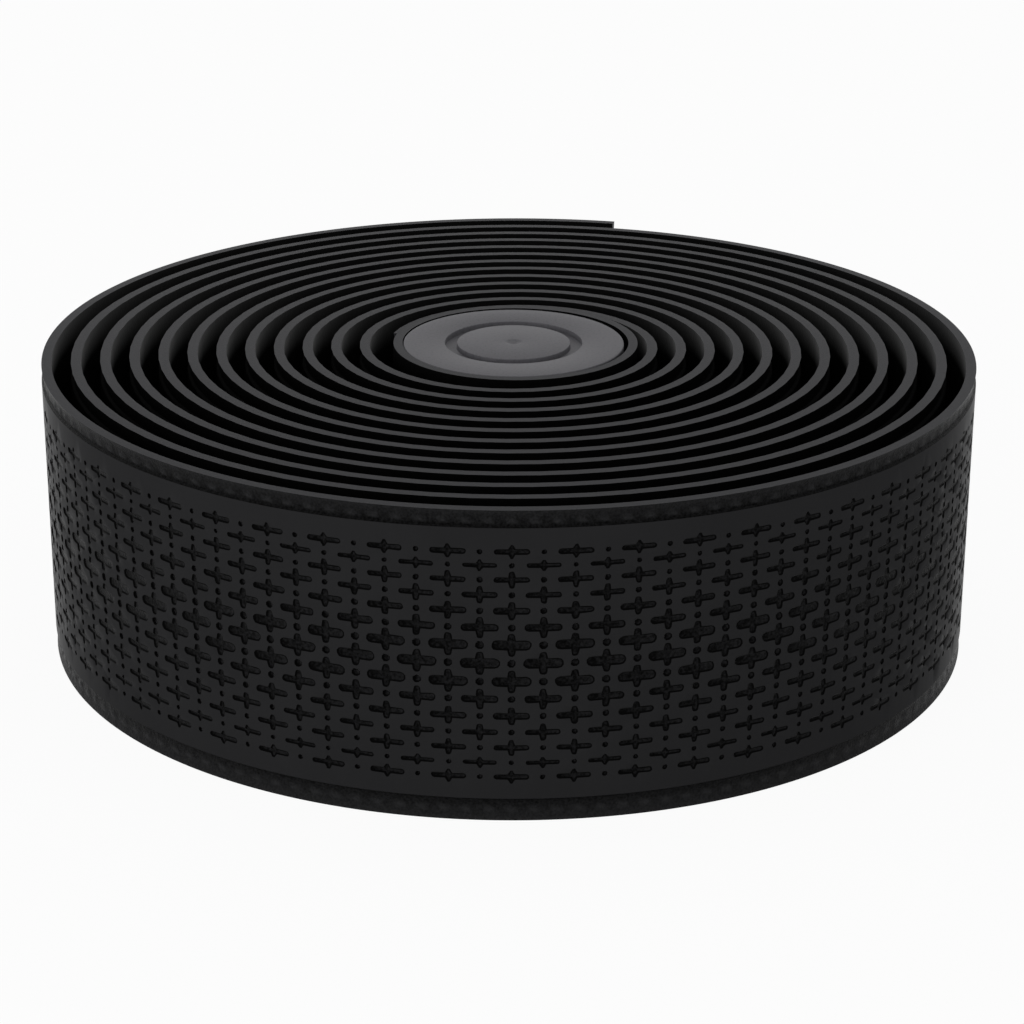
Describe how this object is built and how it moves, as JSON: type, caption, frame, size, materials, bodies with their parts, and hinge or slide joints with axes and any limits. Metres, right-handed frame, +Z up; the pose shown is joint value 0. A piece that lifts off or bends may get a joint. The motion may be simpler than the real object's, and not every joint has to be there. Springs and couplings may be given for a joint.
{
  "type": "handlebar tape roll",
  "caption": "Roll of cushioned handlebar tape standing on its flat end, wound in open turns round a closed core loop that holds a ribbed bar end plug.",
  "frame": {"origin": "middle of the underside, on the surface that the roll stands on", "axes": "+Z up along the roll's axis, -Y towards the front, with the tape's loose end at the back"},
  "size_m": [0.0942, 0.0958, 0.03],
  "materials": {
    "tape": "matte pressed polyurethane skin over foam",
    "plug": "fine satin moulded"
  },
  "bodies": {
    "root": {"tape_roll": "tape", "bar_end_plug": "plug"}
  },
  "joints": []
}
